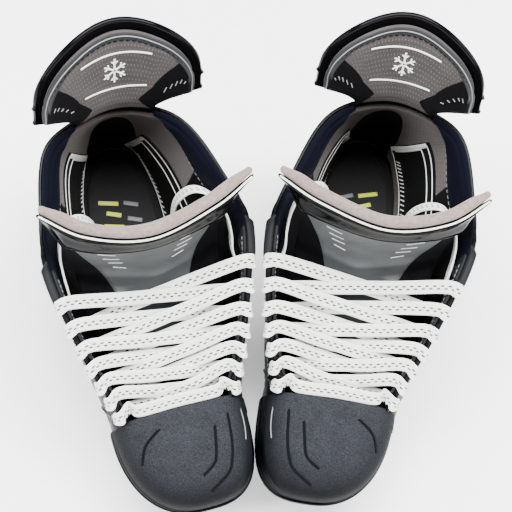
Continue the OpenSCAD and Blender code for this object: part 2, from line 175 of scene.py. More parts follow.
SHELL_ROWS = [
    [joint_point(0, 1), at_deck(45, -43), at_deck(38, 0), at_deck(34, 45), at_deck(32, 88),
     at_deck(22, 116), at_deck(0, 125), at_deck(-21, 116), at_deck(-31, 88),
     at_deck(-31, 45), at_deck(-33, 0), at_deck(-43, -43), joint_point(0, -1)],
    [joint_point(1, 1), [51, -43, 90], [46, 0, 95], [39, 45, 98], [37, 88, 100],
     [26, 120, 102], [0, 132, 102], [-26, 120, 102], [-36, 88, 100],
     [-38, 45, 98], [-43, 0, 95], [-51, -43, 90], joint_point(1, -1)],
    [joint_point(2, 1), [54, -40, 110], [58, 5, 140], [51, 46, 150], [43, 88, 155],
     [26, 110, 158], [0, 121, 160], [-26, 110, 158], [-41, 86, 155],
     [-50, 46, 150], [-59, 5, 140], [-55, -40, 110], joint_point(2, -1)],
    [joint_point(3, 1), [54, -37, 144], [65, 14, 193], [60, 52, 204], [49, 87, 207],
     [28, 101, 209], [0, 106, 210], [-27, 99, 209], [-45, 83, 207],
     [-58, 50, 204], [-67, 13, 193], [-56, -37, 144], joint_point(3, -1)]]


def shell(u, v):
    return net(SHELL_ROWS, u, v)


def top_reach(u):
    return np.linalg.norm(shell(u, THROAT_TOP) - shell(u, THROAT_TOP - 1), axis=-1)


def below_edge(u, s):
    return shell(u, THROAT_TOP - np.asarray(s, float) / top_reach(u))


def edge_band(u, v):
    return below_edge(u, -np.asarray(v, float))


def rim_u(side, u):
    return u if side > 0 else RIM_END - u


def near_front(u):
    """How far along the rim from the toe, the same on both sides: HEEL is the back of the heel."""
    return np.minimum(u, RIM_END - u)


def side_span(side, start, end, count):
    """Evenly spaced u along the rim on one side, always rising."""
    return np.linspace(*sorted((rim_u(side, start), rim_u(side, end))), count)


def across(y, z, w, y_side, z_side, flare=0):
    """One row of the tongue: its middle is at (y, z) and its edges, w to each side, at the other."""
    return [[-w - flare, y_side - flare, z_side],
            [-0.6 * (w + flare), (2 * y + y_side) / 3, (2 * z + z_side) / 3], [0, y, z],
            [0.6 * w, (2 * y + y_side) / 3, (2 * z + z_side) / 3], [w, y_side, z_side]]


TONGUE_ROWS = [
    across(-87, 99, 34, -87, 90), across(-54, 115, 39, -56, 106),
    across(-22, 146, 43, -22, 136), across(6, 173, 46, 10, 166),
    across(11, 198, 50, 21, 194), across(10, 226, 57, 30, 222, 3), across(3, 248, 64, 36, 243, 7)]
TONGUE_T, FELT_T = 2.2, 7


def tongue(u, v):
    return net(TONGUE_ROWS, u, v)


GUARD_W, GUARD_RISE, NECK_W, GUARD_T = 53, 44, 26, 2.6
WING_LIFT, WEB_H, GUARD_WRAP, GUARD_INSET = 24, 26, 7, 5
GUARD_LEAN, GUARD_TILT = math.tan(math.radians(17)), math.tan(math.radians(5))
NECK_TOP = shell(HEEL, 3.0) + [0, 0, 1.6]


def guard_point(u, v, inset):
    u, v = as_grid(u, v)
    a = np.pi / 2 * u
    x = -(GUARD_W - inset) * np.sin(a)
    out = np.clip((np.abs(x) - NECK_W) / (GUARD_W - NECK_W), 0, None)
    low = NECK_TOP[2] + 0.4 * inset + WING_LIFT * out ** 0.7
    high = NECK_TOP[2] + WEB_H + (GUARD_RISE + 4 - inset) * np.clip(np.cos(a), 0, None) ** 0.68
    z = low + (high - low) * v
    wrap = GUARD_WRAP * (x / NECK_W) ** 2 / (1 + 0.18 * (x / NECK_W) ** 2)
    rise = z - NECK_TOP[2]
    return np.stack([x - rise * GUARD_TILT, NECK_TOP[1] + rise * GUARD_LEAN - wrap, z], -1)


def guard(u, v):
    return guard_point(u, v, 0)


def guard_face(u, v):
    return guard_point(u, v, GUARD_INSET)


# ---------------------------------------------------------------- laces
EYELETS, FIRST_EYELET, EYELET_REACH = 8, 0.14, 1.72
LACED_ROWS, EYELET_DROP, LACE_W, LACE_T, BAR_Z = 7, 9, 10, 1.5, 118.8
THROAT_UP = unit(shell(2.0, 3.0) - shell(0.0, 3.0))
SLOPE_SIDE = unit(np.array([0, THROAT_UP[1], THROAT_UP[2]]))
SLOPE_UP = unit(np.array([0, -THROAT_UP[2], THROAT_UP[1]]))


def eyelet_u(k):
    return FIRST_EYELET + EYELET_REACH * k / (EYELETS - 1)


def side_point(side, k, s, out):
    """At eyelet k of one side, s below the throat's edge and out from the shell."""
    u = rim_u(side, eyelet_u(k))
    return below_edge(u, s) + out * normal_at(edge_band, u, -float(s))


def through(side, k):
    """Over the edge, down the outside, in through an eyelet and up the inside.

    Each ring is a centre, a width and a thickness; the lace folds narrow in the eyelet."""
    return [(side_point(side, k, 0, -9) + 2.4 * SLOPE_UP, LACE_W, LACE_T),
            (side_point(side, k, 0, 0) + 2.2 * SLOPE_UP, LACE_W, LACE_T),
            (side_point(side, k, 3, 2.4) + 0.8 * SLOPE_UP, LACE_W, LACE_T),
            (side_point(side, k, EYELET_DROP - 1.5, 2.2), 6, 1.9),
            (side_point(side, k, EYELET_DROP, -1), 4, 2.4),
            (side_point(side, k, EYELET_DROP - 0.5, -6), 4.6, 2.2),
            (side_point(side, k, EYELET_DROP - 3.5, -11), 7, 1.7)]


def strand(start):
    """One half of the lace, crossing from side to side up the rows; low rows lie on the bar."""
    rings = []
    for k in range(LACED_ROWS):
        here = through(start if k % 2 == 0 else -start, k)
        if k == LACED_ROWS - 1:
            return rings + here[:6]
        there = through(-start if k % 2 == 0 else start, k + 1)
        lift = {0: 3.5, 1: 0.8}.get(k, 0) + 1.6 * start
        middle = (here[6][0] + there[0][0]) / 2 + lift * SLOPE_UP
        reach = there[0][0] - here[6][0]
        rings += here + [(middle + s * reach, LACE_W, LACE_T) for s in (-0.2, 0, 0.2)]


BAR_HALF, BAR_ARCH = 27, 2.5
BAR = [(np.array([x, CAP_Y + 5.5, BAR_Z - BAR_ARCH * (x / BAR_HALF) ** 2]), LACE_W, LACE_T)
       for x in (-BAR_HALF, 0, BAR_HALF)]
LACE_RINGS = strand(-1)[::-1] + BAR + strand(1)

LOOSE_ENDS = {
    "outer": [[54.5, 3, 176], [55, 12, 184], [54.5, 23, 190], [51, 34, 193.5], [43, 42.5, 192],
              [35, 46, 182], [28.5, 46, 166], [25, 42, 148], [22, 33, 128], [18, 24, 109],
              [14, 11, 94], [8.5, -4, 86], [5, -12.2, 83.8], [-2, -15.6, 82.5], [-9, -12.6, 82.2],
              [-12.3, -5, 82.4], [-11.6, 2, 82.8], [-9, 8, 83]],
    "inner": [[-54.5, 4, 176], [-55.5, 13, 184], [-55, 24, 190], [-51, 35, 193.5], [-43, 43, 192],
              [-36, 47, 184], [-30, 48, 168], [-27, 46, 150], [-25, 38, 130], [-23, 28, 111],
              [-22, 16, 97], [-22, 1, 88], [-22, -14, 84], [-17, -26, 82], [-6, -31, 81.5],
              [5, -30, 81.5]]}
LOOSE_W, TIP_L = LACE_W - 2, 20


# ---------------------------------------------------------------- mesh builders
def grid_faces(nu, nv, base=0, flip=False):
    a = (np.arange(nv - 1)[:, None] * nu + np.arange(nu - 1)[None, :]).ravel() + base
    quads = np.stack([a, a + 1, a + nu + 1, a + nu], -1)
    return quads[:, ::-1] if flip else quads


def lengths(p):
    """Distance covered along the rows of a grid of points, averaged over its other side."""
    d = np.linalg.norm(np.diff(p, axis=0), axis=-1)
    d = d.mean(axis=tuple(range(1, d.ndim))) if d.ndim > 1 else d
    return np.concatenate([[0], np.cumsum(d)])


def over(value, u, v):
    """A number or a function of (u, v), on a grid."""
    return value(u, v) if callable(value) else np.full(u.shape, float(value))


def skin(f, us, vs, outer, inner, bulge=1.0, ring=6):
    """A closed pad or plate between two offsets of the surface f, with a rounded rim."""
    u, v = np.meshgrid(us, vs)
    p, n = f(u, v), normal_at(f, u, v)
    a = p + over(outer, u, v)[..., None] * n
    b = p + over(inner, u, v)[..., None] * n
    nv, nu = u.shape
    out = np.zeros_like(p)
    out[:, 0] += unit(p[:, 0] - p[:, 1])
    out[:, -1] += unit(p[:, -1] - p[:, -2])
    out[0] += unit(p[0] - p[1])
    out[-1] += unit(p[-1] - p[-2])
    flat = np.arange(nu * nv).reshape(nv, nu)
    loop = np.concatenate([flat[0, :-1], flat[:-1, -1], flat[-1, :0:-1], flat[:0:-1, 0]])
    a2, b2, o2 = a.reshape(-1, 3), b.reshape(-1, 3), unit(out.reshape(-1, 3))
    middle, half = (a2 + b2)[loop] / 2, (a2 - b2)[loop] / 2
    thick = np.linalg.norm(half, axis=-1, keepdims=True)
    verts, rims = [a2, b2], [loop]
    for k in range(1, ring):
        t = math.pi * k / ring
        rims.append(np.arange(len(loop)) + 2 * nu * nv + (k - 1) * len(loop))
        verts.append(middle + half * math.cos(t) + o2[loop] * thick * bulge * math.sin(t))
    rims.append(loop + nu * nv)
    faces = [grid_faces(nu, nv), grid_faces(nu, nv, nu * nv, True)]
    for r0, r1 in zip(rims, rims[1:]):
        faces.append(np.stack([np.roll(r0, -1), r0, r1, np.roll(r1, -1)], -1))
    x, y = np.meshgrid(lengths(p.transpose(1, 0, 2)), lengths(p))
    uv = np.stack([x, y], -1).reshape(-1, 2) * MM
    uvs = np.concatenate([uv, uv] + [uv[loop]] * (ring - 1))
    return np.concatenate(verts), np.concatenate(faces), uvs


def frames(centres, towards):
    """Along a line of centres: its direction, the width's direction and the third one."""
    along = unit(np.gradient(centres, axis=0))
    towards = np.broadcast_to(towards, centres.shape)
    w = unit(towards - (towards * along).sum(-1, keepdims=True) * along)
    return along, w, np.cross(along, w)


def tube(centres, widths, thicks, towards, sides=12, square=0.55):
    """A strip or tube with a rounded section, with its width near the direction towards."""
    centres = np.asarray(centres, float)
    along, w, n = frames(centres, np.asarray(towards, float))
    t = np.linspace(0, 2 * np.pi, sides, endpoint=False)
    cs, sn = spow(np.cos(t), square), spow(np.sin(t), square)
    widths = np.broadcast_to(widths, len(centres)) / 2
    thicks = np.broadcast_to(thicks, len(centres)) / 2
    rings = (centres[:, None] + widths[:, None, None] * cs[None, :, None] * w[:, None]
             + thicks[:, None, None] * sn[None, :, None] * n[:, None])
    count = len(centres)
    verts = np.concatenate([rings.reshape(-1, 3), centres[:1], centres[-1:]])
    i, j = np.meshgrid(np.arange(count - 1), np.arange(sides), indexing="ij")
    a, b = i * sides + j, i * sides + (j + 1) % sides
    quads = np.stack([a, a + sides, b + sides, b], -1).reshape(-1, 4)
    k = np.arange(sides)
    first = np.stack([np.full(sides, count * sides), k, (k + 1) % sides], -1)
    end = (count - 1) * sides
    last = np.stack([np.full(sides, count * sides + 1), end + (k + 1) % sides, end + k], -1)
    s = lengths(centres)
    x = np.repeat(s, sides)
    y = (widths[:, None] * cs[None]).ravel()
    uv = np.stack([np.concatenate([x, s[:1], s[-1:]]), np.concatenate([y, [0, 0]])], -1) * MM
    return verts, list(quads) + list(first) + list(last), uv


def joined(shapes):
    """Several shapes as one."""
    verts, faces, uvs, base = [], [], [], 0
    for v, f, t in shapes:
        verts.append(v)
        faces += [tuple(int(i) + base for i in face) for face in f]
        uvs.append(t)
        base += len(v)
    return np.concatenate(verts), faces, np.concatenate(uvs)


def stitches(points, normals, length=2.6, gap=1.3, thick=0.55):
    """Thread dashes along a line on a surface, each with both its ends sunk in."""
    points, normals = np.asarray(points, float), np.asarray(normals, float)
    s = lengths(points)
    shapes = []
    for start in np.arange(gap, s[-1] - length, length + gap):
        at = start + length * np.array([0, 0.15, 0.5, 0.85, 1])
        c = np.stack([np.interp(at, s, points[:, k]) for k in range(3)], -1)
        n = unit(np.stack([np.interp(at, s, normals[:, k]) for k in range(3)], -1))
        c = c + n * (np.array([-0.25, 0.12, 0.2, 0.12, -0.25]) * thick / 0.55)[:, None]
        girth = thick * np.array([0.6, 1, 1, 1, 0.6])
        shapes.append(tube(c, girth, girth, np.cross(n, unit(np.gradient(c, axis=0))), 6, 1))
    return joined(shapes)


def traced(f, uvs, lift, step=1.0):
    """A line on the surface f through (u, v) knots: its points, lifted, and their normals."""
    uvs = np.asarray(uvs, float)
    t = np.linspace(0, len(uvs) - 1, max(2, int(60 * (len(uvs) - 1) / step)))
    q = curve(uvs, t)
    n = normal_at(f, q[:, 0], q[:, 1])
    return f(q[:, 0], q[:, 1]) + lift * n, n


def stroke(f, uvs, width, lift, thick=0.4, step=1.0, square=0.5):
    """A thin raised band that follows a line on the surface f."""
    p, n = traced(f, uvs, lift, step)
    return tube(p, width, thick, np.cross(n, unit(np.gradient(p, axis=0))), 8, square)


def add_mesh(name, side, shape, material):
    verts, faces, uvs = shape
    verts = place(side, verts)
    faces = [tuple(int(i) for i in f) for f in faces]
    if side == "right":
        faces = [f[::-1] for f in faces]
    mesh = bpy.data.meshes.new(name)
    mesh.from_pydata([tuple(v) for v in verts], [], faces)
    layer = mesh.uv_layers.new(name="UVMap")
    loops = np.empty(len(mesh.loops), dtype=np.int32)
    mesh.loops.foreach_get("vertex_index", loops)
    layer.data.foreach_set("uv", np.asarray(uvs, np.float32)[loops].ravel())
    mesh.polygons.foreach_set("use_smooth", [True] * len(mesh.polygons))
    mesh.update()
    mesh.materials.append(material)
    piece = bpy.data.objects.new(name, mesh)
    bpy.context.scene.collection.objects.link(piece)
    return piece


def make(side, name, part, shape, finish, stands_for=()):
    """One piece on a body of one skate, or on none."""
    piece = add_mesh(f"{side}_{name}", side, shape, FINISHES[finish])
    if part:
        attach(piece, f"{side}_{part}")
    if stands_for:
        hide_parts(*[f"{side}_{node}" for node in stands_for])
    return piece


# ---------------------------------------------------------------- materials
def node_op(kind, swap=False):
    return lambda self, *others: self.op(kind, *others, swap=swap)


class Field:
    """A number that varies over a surface, put together with ordinary arithmetic."""
    __add__, __sub__, __rsub__ = node_op("ADD"), node_op("SUBTRACT"), node_op("SUBTRACT", True)
    __mul__, __truediv__, abs = node_op("MULTIPLY"), node_op("DIVIDE"), node_op("ABSOLUTE")
    fract, floor, sin = node_op("FRACT"), node_op("FLOOR"), node_op("SINE")

    def __init__(self, tree, socket):
        self.tree, self.socket = tree, socket

    def op(self, kind, *others, swap=False):
        node = self.tree.nodes.new("ShaderNodeMath")
        node.operation = kind
        values = (self,) + others
        for socket, value in zip(node.inputs, values[::-1] if swap else values):
            if isinstance(value, Field):
                self.tree.links.new(value.socket, socket)
            else:
                socket.default_value = value
        return Field(self.tree, node.outputs[0])

    def wave(self, pitch):
        return (self * (TURN / pitch)).sin()

    def below(self, limit, soft=0.0):
        """1 where the field is under the limit, 0 above, with a soft edge."""
        if not soft:
            return self.op("LESS_THAN", limit)
        return self.between(limit + soft / 2, limit - soft / 2)

    def between(self, low, high):
        """0 at low, 1 at high, clamped."""
        node = self.tree.nodes.new("ShaderNodeMapRange")
        self.tree.links.new(self.socket, node.inputs["Value"])
        node.inputs["From Min"].default_value = low
        node.inputs["From Max"].default_value = high
        node.interpolation_type = "SMOOTHSTEP"
        return Field(self.tree, node.outputs["Result"])


class Finish:
    """A procedural material: colour, roughness and relief from fields over the surface."""

    def __init__(self, name, **sockets):
        self.material = bpy.data.materials.new(name)
        self.material.use_nodes = True
        self.tree = self.material.node_tree
        self.shader = self.tree.nodes["Principled BSDF"]
        for socket, value in sockets.items():
            self.shader.inputs[socket.replace("_", " ")].default_value = value
        self.coordinates = self.tree.nodes.new("ShaderNodeTexCoord")

    def add(self, kind, source, target, **values):
        """A node with an input fed from a socket and others set to plain values."""
        node = self.tree.nodes.new("ShaderNode" + kind)
        self.tree.links.new(source, node.inputs[target])
        for name, value in values.items():
            node.inputs[name.replace("_", " ")].default_value = value
        return node

    def feed(self, socket, name):
        self.tree.links.new(socket, self.shader.inputs[name])

    def axes(self, source, count):
        node = self.add("SeparateXYZ", self.coordinates.outputs[source], 0)
        return [Field(self.tree, node.outputs[k]) * 1000 for k in range(count)]

    def uv(self):
        """Distances along and across the piece, in millimetres."""
        return self.axes("UV", 2)

    def place(self):
        """Position in the shared frame, in millimetres."""
        return self.axes("Object", 3)

    def noise(self, size, detail=2.0, rough=0.5, stretch=(1, 1, 1)):
        """Noise with features of that size in millimetres."""
        mapping = self.add("Mapping", self.coordinates.outputs["Object"], "Vector", Scale=stretch)
        node = self.add("TexNoise", mapping.outputs[0], "Vector", Scale=1000 / size,
                        Detail=detail, Roughness=rough)
        return Field(self.tree, node.outputs["Fac"])

    def cells(self, size):
        """Distance to the middle of the nearest grain."""
        node = self.add("TexVoronoi", self.coordinates.outputs["Object"], "Vector",
                        Scale=1000 / size)
        return Field(self.tree, node.outputs["Distance"])

    def colour(self, field, low, high, base=None):
        """Base colour from low to high along the field, over an earlier colour if given."""
        node = self.tree.nodes.new("ShaderNodeMix")
        node.data_type = "RGBA"
        self.tree.links.new(field.socket, node.inputs["Factor"])
        if base is None:
            node.inputs["A"].default_value = (*low, 1)
        else:
            self.tree.links.new(base, node.inputs["A"])
        node.inputs["B"].default_value = (*high, 1)
        out = [o for o in node.outputs if o.type == "RGBA"][0]
        self.feed(out, "Base Color")
        return out

    def rough(self, field, low, high):
        node = self.add("MapRange", field.socket, "Value", To_Min=low, To_Max=high)
        self.feed(node.outputs["Result"], "Roughness")

    def relief(self, height):
        """Bump from a height in millimetres."""
        node = self.add("Bump", height.socket, "Height", Strength=1.0, Distance=MM)
        self.feed(node.outputs[0], "Normal")


FINISHES = {}


def finish(name, **sockets):
    made = Finish(name, **sockets)
    FINISHES[name] = made.material
    return made


def grained_plastic(name, dark, light, grain, rough, bump, **sockets):
    m = finish(name, **sockets)
    fine, broad = m.noise(grain, 3, 0.6), m.noise(40, 2)
    m.colour(fine * 0.6 + broad * 0.4, dark, light)
    m.rough(fine * 0.5 + broad * 0.5, *rough)
    m.relief(fine * bump + m.cells(grain * 2.2) * bump)


def plain(name, grain, dark, light, rough, bump, **sockets):
    m = finish(name, **sockets)
    fine = m.noise(grain, 3)
    m.colour(fine, dark, light)
    m.rough(fine, *rough)
    m.relief(fine * bump)


def knit_dots(x, y, pitch_x, pitch_y):
    """Staggered rows of small pale dots, as in a spacer knit."""
    gx = ((x / pitch_x + (y / pitch_y).floor() * 0.5).fract() - 0.5) / 0.12
    gy = ((y / pitch_y).fract() - 0.5) / 0.16
    return (gx * gx + gy * gy).below(1.0, 0.5)


# Black finishes reflect very little, or the pale floor and lights would turn them grey.
def make_hard_finishes():
    m = finish("toe_grain_and_painted_shade", Specular_IOR_Level=0.012)
    fine, broad = m.noise(0.8, 3, 0.6), m.noise(14, 2)
    grain = (fine - 0.5) * 1.7 + broad * 0.3 + 0.35
    base = m.colour(grain, (0.0015, 0.0017, 0.0024), (0.029, 0.031, 0.036))
    # painted shade: the cap is darker towards its foot, as its lower, front-facing slope gets little
    # light
    painted_shade_low = m.place()[2].between(113, 86)
    m.colour(painted_shade_low * 0.9, None, (0.0008, 0.001, 0.0015), base)
    m.rough(fine, 0.45, 0.62)
    m.relief(fine * 0.2 + m.cells(1.7) * 0.14)

    grained_plastic("satin_black", (0.0008, 0.0008, 0.001), (0.003, 0.003, 0.0036), 0.6,
                    (0.34, 0.48), 0.03, Specular_IOR_Level=0.04)
    grained_plastic("grey_trim", (0.003, 0.0034, 0.004), (0.01, 0.011, 0.013), 0.5,
                    (0.38, 0.52), 0.04, Specular_IOR_Level=0.14)
    grained_plastic("gloss_black", (0.0006, 0.0006, 0.0008), (0.002, 0.002, 0.0024), 1.2,
                    (0.12, 0.2), 0.01, Coat_Weight=0.1, Coat_Roughness=0.05,
                    Specular_IOR_Level=0.01)

    m = finish("shell_gloss", Coat_Weight=0.05, Coat_Roughness=0.12, Specular_IOR_Level=0.05)
    x, y = m.uv()
    tow = 2.2
    column = (x / tow).floor() + (y / tow).floor()
    twill = ((column / 2).fract() * 2).below(0.5)
    haze = m.noise(30, 2)
    m.colour(twill * 0.6 + haze * 0.4, (0.001, 0.001, 0.0013), (0.005, 0.005, 0.0062))
    m.rough(twill * 0.5 + haze * 0.5, 0.32, 0.48)
    m.relief(m.noise(0.8, 2) * 0.012)

    m = finish("tongue_satin", Sheen_Weight=0.08, Sheen_Roughness=0.4, Specular_IOR_Level=0.35)
    fine, broad = m.noise(0.45, 3, 0.65), m.noise(18, 3)
    m.colour(fine * 0.5 + broad * 0.5, (0.018, 0.02, 0.021), (0.09, 0.097, 0.1))
    m.rough(fine, 0.34, 0.5)
    m.relief(fine * 0.08 + m.cells(1.0) * 0.06)

    m = finish("tip_film", Coat_Weight=0.7, Coat_Roughness=0.1)
    x, y, z = m.place()
    fine = m.noise(0.6, 3)
    m.colour(fine, (0.6, 0.6, 0.57), (0.85, 0.85, 0.83))
    m.rough(fine, 0.2, 0.4)
    m.relief(((x + y + z) * 4).sin() * 0.03)

    m = finish("steel", Metallic=1.0, Anisotropic=0.4)
    lines, smear = m.noise(0.35, 3, 0.6, (1, 0.02, 1)), m.noise(25, 3)
    m.colour(lines * 0.6 + smear * 0.4, (0.5, 0.51, 0.53), (0.78, 0.79, 0.81))
    m.rough(lines * 0.5 + smear * 0.5, 0.12, 0.34)
    m.relief(lines * 0.006)

    m = finish("rivet", Metallic=1.0)
    fine, smear = m.noise(0.5, 3), m.noise(4, 3)
    m.colour(fine * 0.5 + smear * 0.5, (0.45, 0.45, 0.46), (0.75, 0.75, 0.76))
    m.rough(fine, 0.22, 0.42)
    m.relief(fine * 0.02)

    plain("enamel", 0.5, (0.02, 0.02, 0.022), (0.06, 0.06, 0.065), (0.25, 0.4), 0.01,
          Metallic=0.35, Coat_Weight=0.5, Coat_Roughness=0.12)
    plain("print_white", 0.5, (0.7, 0.7, 0.69), (0.92, 0.92, 0.91), (0.5, 0.7), 0.04)
    plain("print_lime", 0.5, (0.42, 0.5, 0.02), (0.68, 0.78, 0.06), (0.5, 0.75), 0.05)
    # print_grey also colours the painted highlight on the toe cap's moulded edge
    plain("print_grey", 0.5, (0.1, 0.1, 0.11), (0.2, 0.2, 0.21), (0.5, 0.75), 0.05)
    plain("thread_white", 0.3, (0.55, 0.55, 0.53), (0.85, 0.85, 0.83), (0.6, 0.85), 0.06,
          Sheen_Weight=0.2)
    plain("thread_grey", 0.3, (0.12, 0.12, 0.125), (0.26, 0.26, 0.265), (0.6, 0.85), 0.06,
          Sheen_Weight=0.2)


def make_cloth_finishes():
    m = finish("felt", Sheen_Weight=0.2, Sheen_Roughness=0.5, Sheen_Tint=(0.9, 0.84, 0.8, 1))
    fibre, clump = m.noise(0.7, 5, 0.75), m.noise(2.6, 3, 0.6)
    m.colour((fibre - 0.5) * 1.3 + clump * 0.9, (0.07, 0.052, 0.047), (0.27, 0.21, 0.187))
    m.rough(fibre, 0.85, 1.0)
    m.relief(fibre * 0.55 + clump * 0.5)

    m = finish("microfibre", Sheen_Weight=0.12, Sheen_Roughness=0.45,
               Sheen_Tint=(0.8, 0.76, 0.74, 1))
    x, y = m.uv()
    fibre, clump, twill = m.noise(0.4, 4, 0.7), m.noise(9, 2), (x + y).wave(1.1)
    base = m.colour(fibre * 0.45 + clump * 0.35 + twill * 0.1,
                    (0.033, 0.027, 0.026), (0.1, 0.086, 0.083))
    m.colour(knit_dots(x, y, 3.4, 4.6) * 0.3, None, (0.26, 0.24, 0.23), base)
    m.rough(fibre, 0.8, 0.97)
    m.relief(fibre * 0.2 + twill * 0.06)

    # dark cloth of the panels; the same finish also serves as painted shade in the cap's grooves and
    # behind the heel
    m = finish("dark_panel_and_painted_shade", Sheen_Weight=0.01, Sheen_Roughness=0.4, Specular_IOR_Level=0.06)
    x, y = m.uv()
    fibre, rib = m.noise(0.4, 4, 0.7), (x - y).wave(0.9)
    m.colour(fibre * 0.5 + rib * 0.2 + 0.2, (0.0004, 0.0004, 0.0007), (0.003, 0.003, 0.0042))
    m.rough(fibre, 0.6, 0.85)
    m.relief(fibre * 0.1 + rib * 0.06)

    m = finish("collar_knit", Sheen_Weight=0.015, Sheen_Roughness=0.35,
               Sheen_Tint=(0.5, 0.55, 0.9, 1), Specular_IOR_Level=0.05)
    x, y = m.uv()
    fuzz = m.noise(0.4, 4, 0.7)
    wale = ((x / 1.3).fract() - 0.5).abs()
    loop = (((y / 0.9) + wale * 1.2) * TURN).sin()
    knit = (0.5 - wale) * 1.4 + loop * 0.15
    m.colour(knit * 0.6 + fuzz * 0.4, (0.0003, 0.0004, 0.0012), (0.0026, 0.003, 0.0095))
    m.rough(fuzz, 0.75, 0.95)
    m.relief(knit * 0.22 + fuzz * 0.12)

    m = finish("guard_knit", Sheen_Weight=0.12, Sheen_Roughness=0.4,
               Sheen_Tint=(0.85, 0.82, 0.8, 1))
    x, y = m.uv()
    dots = knit_dots(x, y, 2.3, 3.2)
    fibre, patch = m.noise(0.7, 4, 0.7), m.noise(12, 3)
    thread = x.wave(0.8) * y.wave(0.8)
    base = m.colour((fibre - 0.5) * 1.2 + patch * 0.8 + thread * 0.12,
                    (0.012, 0.0102, 0.0102), (0.052, 0.0445, 0.043))
    m.colour(dots * 0.3, None, (0.28, 0.26, 0.25), base)
    m.rough(fibre, 0.8, 0.96)
    m.relief(thread * 0.07 + fibre * 0.14 + dots * 0.12)

    m = finish("binding", Sheen_Weight=0.05, Specular_IOR_Level=0.25)
    x, _ = m.uv()
    fuzz, rib = m.noise(0.5, 4, 0.7), x.wave(1.1)
    m.colour(fuzz * 0.5 + rib * 0.2 + 0.2, (0.003, 0.0033, 0.0037), (0.013, 0.014, 0.0155))
    m.rough(fuzz, 0.5, 0.75)
    m.relief(rib * 0.08 + fuzz * 0.08)

    m = finish("footbed_knit", Sheen_Weight=0.05, Sheen_Roughness=0.4)
    x, y, _ = m.place()
    fibre, mesh = m.noise(0.5, 4, 0.7), x.wave(1.6) * y.wave(1.6)
    m.colour(fibre * 0.5 + mesh * 0.2 + 0.2, (0.0006, 0.0006, 0.0008), (0.004, 0.004, 0.005))
    m.rough(fibre, 0.75, 0.95)
    m.relief(fibre * 0.15 + mesh * 0.08)

    m = finish("lace", Sheen_Weight=0.3, Sheen_Roughness=0.5)
    x, y = m.uv()
    chevron = (x * TURN + y.abs() * TURN).sin()
    rib, fuzz = y.wave(1.15), m.noise(0.5, 3, 0.7)
    base = m.colour(chevron * 0.18 + rib * 0.12 + fuzz * 0.5 + 0.25,
                    (0.6, 0.6, 0.57), (0.93, 0.93, 0.91))
    dash = 5.0
    near = (x / dash).fract().below(0.44) * (y - 1.0).abs().below(0.58)
    far = (x / dash + 0.5).fract().below(0.44) * (y + 1.0).abs().below(0.58)
    m.colour((near + far) * 0.99, None, (0.002, 0.002, 0.003), base)
    m.rough(fuzz, 0.7, 0.9)
    m.relief(chevron * 0.09 + rib * 0.05 + fuzz * 0.06)


make_hard_finishes()
make_cloth_finishes()


def repaint(side, node, name):
    """A CAD node that keeps its shape gets a procedural finish."""
    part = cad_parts[f"{side}_{node}"]
    part.data.materials.clear()
    part.data.materials.append(FINISHES[name])


# ---------------------------------------------------------------- laces and their free ends
def along_rings(rings, each):
    t = np.linspace(0, len(rings) - 1, (len(rings) - 1) * each + 1)
    centres = curve([r[0] for r in rings], t)
    sizes = curve([r[1:] for r in rings], t)
    return centres, sizes[:, 0], sizes[:, 1]


def make_laces(side):
    centres, w, t = along_rings(LACE_RINGS, 7)
    make(side, "laced", "boot", tube(centres, w, t, SLOPE_SIDE, 16, 0.5), "lace",
         ["laces"])
    for sign, (end, points) in zip((1, -1), LOOSE_ENDS.items()):
        start = side_point(sign, LACED_ROWS - 1, EYELET_DROP - 2.5, -7.6)
        route = np.array([start] + points)
        centres = curve(route, np.linspace(0, len(route) - 1, 8 * (len(route) - 1) + 1))
        loose = make(side, f"lace_free_{end}", "boot",
                     tube(centres, LOOSE_W, LACE_T, SLOPE_UP, 16, 0.5),
                     "lace", [f"lace_end_{end}"])
        heading = unit(centres[-1] - centres[-2])
        tip_line = centres[-1] + heading * np.linspace(-1.5, TIP_L + 0.3, 24)[:, None]
        girth = np.interp(np.arange(24), [0, 2, 20, 23], [3.2, 3.1, 2.9, 2.4])
        tip = make(side, f"lace_tip_{end}", "boot", tube(tip_line, girth, girth, SLOPE_UP, 16, 1),
                   "tip_film", ["lace_tips"])


for side in SIDES:
    make_laces(side)


# ---------------------------------------------------------------- toe cap
CAP_GROOVES = [
    [[-32, -77], [-29.5, -107], [-26, -122], [-21, -130], [-8, -138]],
    [[-20, -97], [-16, -116], [-12.6, -121.7], [-4.5, -127]],
    [[7, -84], [19, -91], [29, -98.5], [34, -109]]]


def groove_depth(x, y):
    """Depth of the moulded grooves that run over the toe cap, seen from above."""
    depth = np.zeros_like(x)
    for line in CAP_GROOVES:
        path = curve(line, np.linspace(0, len(line) - 1, 90))
        d = np.hypot(x[..., None] - path[:, 0], y[..., None] - path[:, 1]).min(-1)
        depth = np.maximum(depth, 1.1 * np.exp(-(d / 1.1) ** 2) - 0.35 * bell(d, 2.6, 0.9))
    return depth


def cap_relief(u, v):
    p = cap(u, v)
    ridge = 0.8 * bell(u, 0.86 - 0.05 * v, 0.03)
    ridge = ridge * smooth_step(0.02, 0.1, v) * smooth_step(0.8, 0.6, v)
    foot = 0.9 * smooth_step(0.06, 0.03, np.minimum(u, 1 - u)) * smooth_step(0.97, 0.8, v)
    hem = 0.7 * smooth_step(0.07, 0.05, v)
    grooves = groove_depth(p[..., 0], p[..., 1]) * smooth_step(0.02, 0.08, v)
    return -grooves + ridge + foot + hem


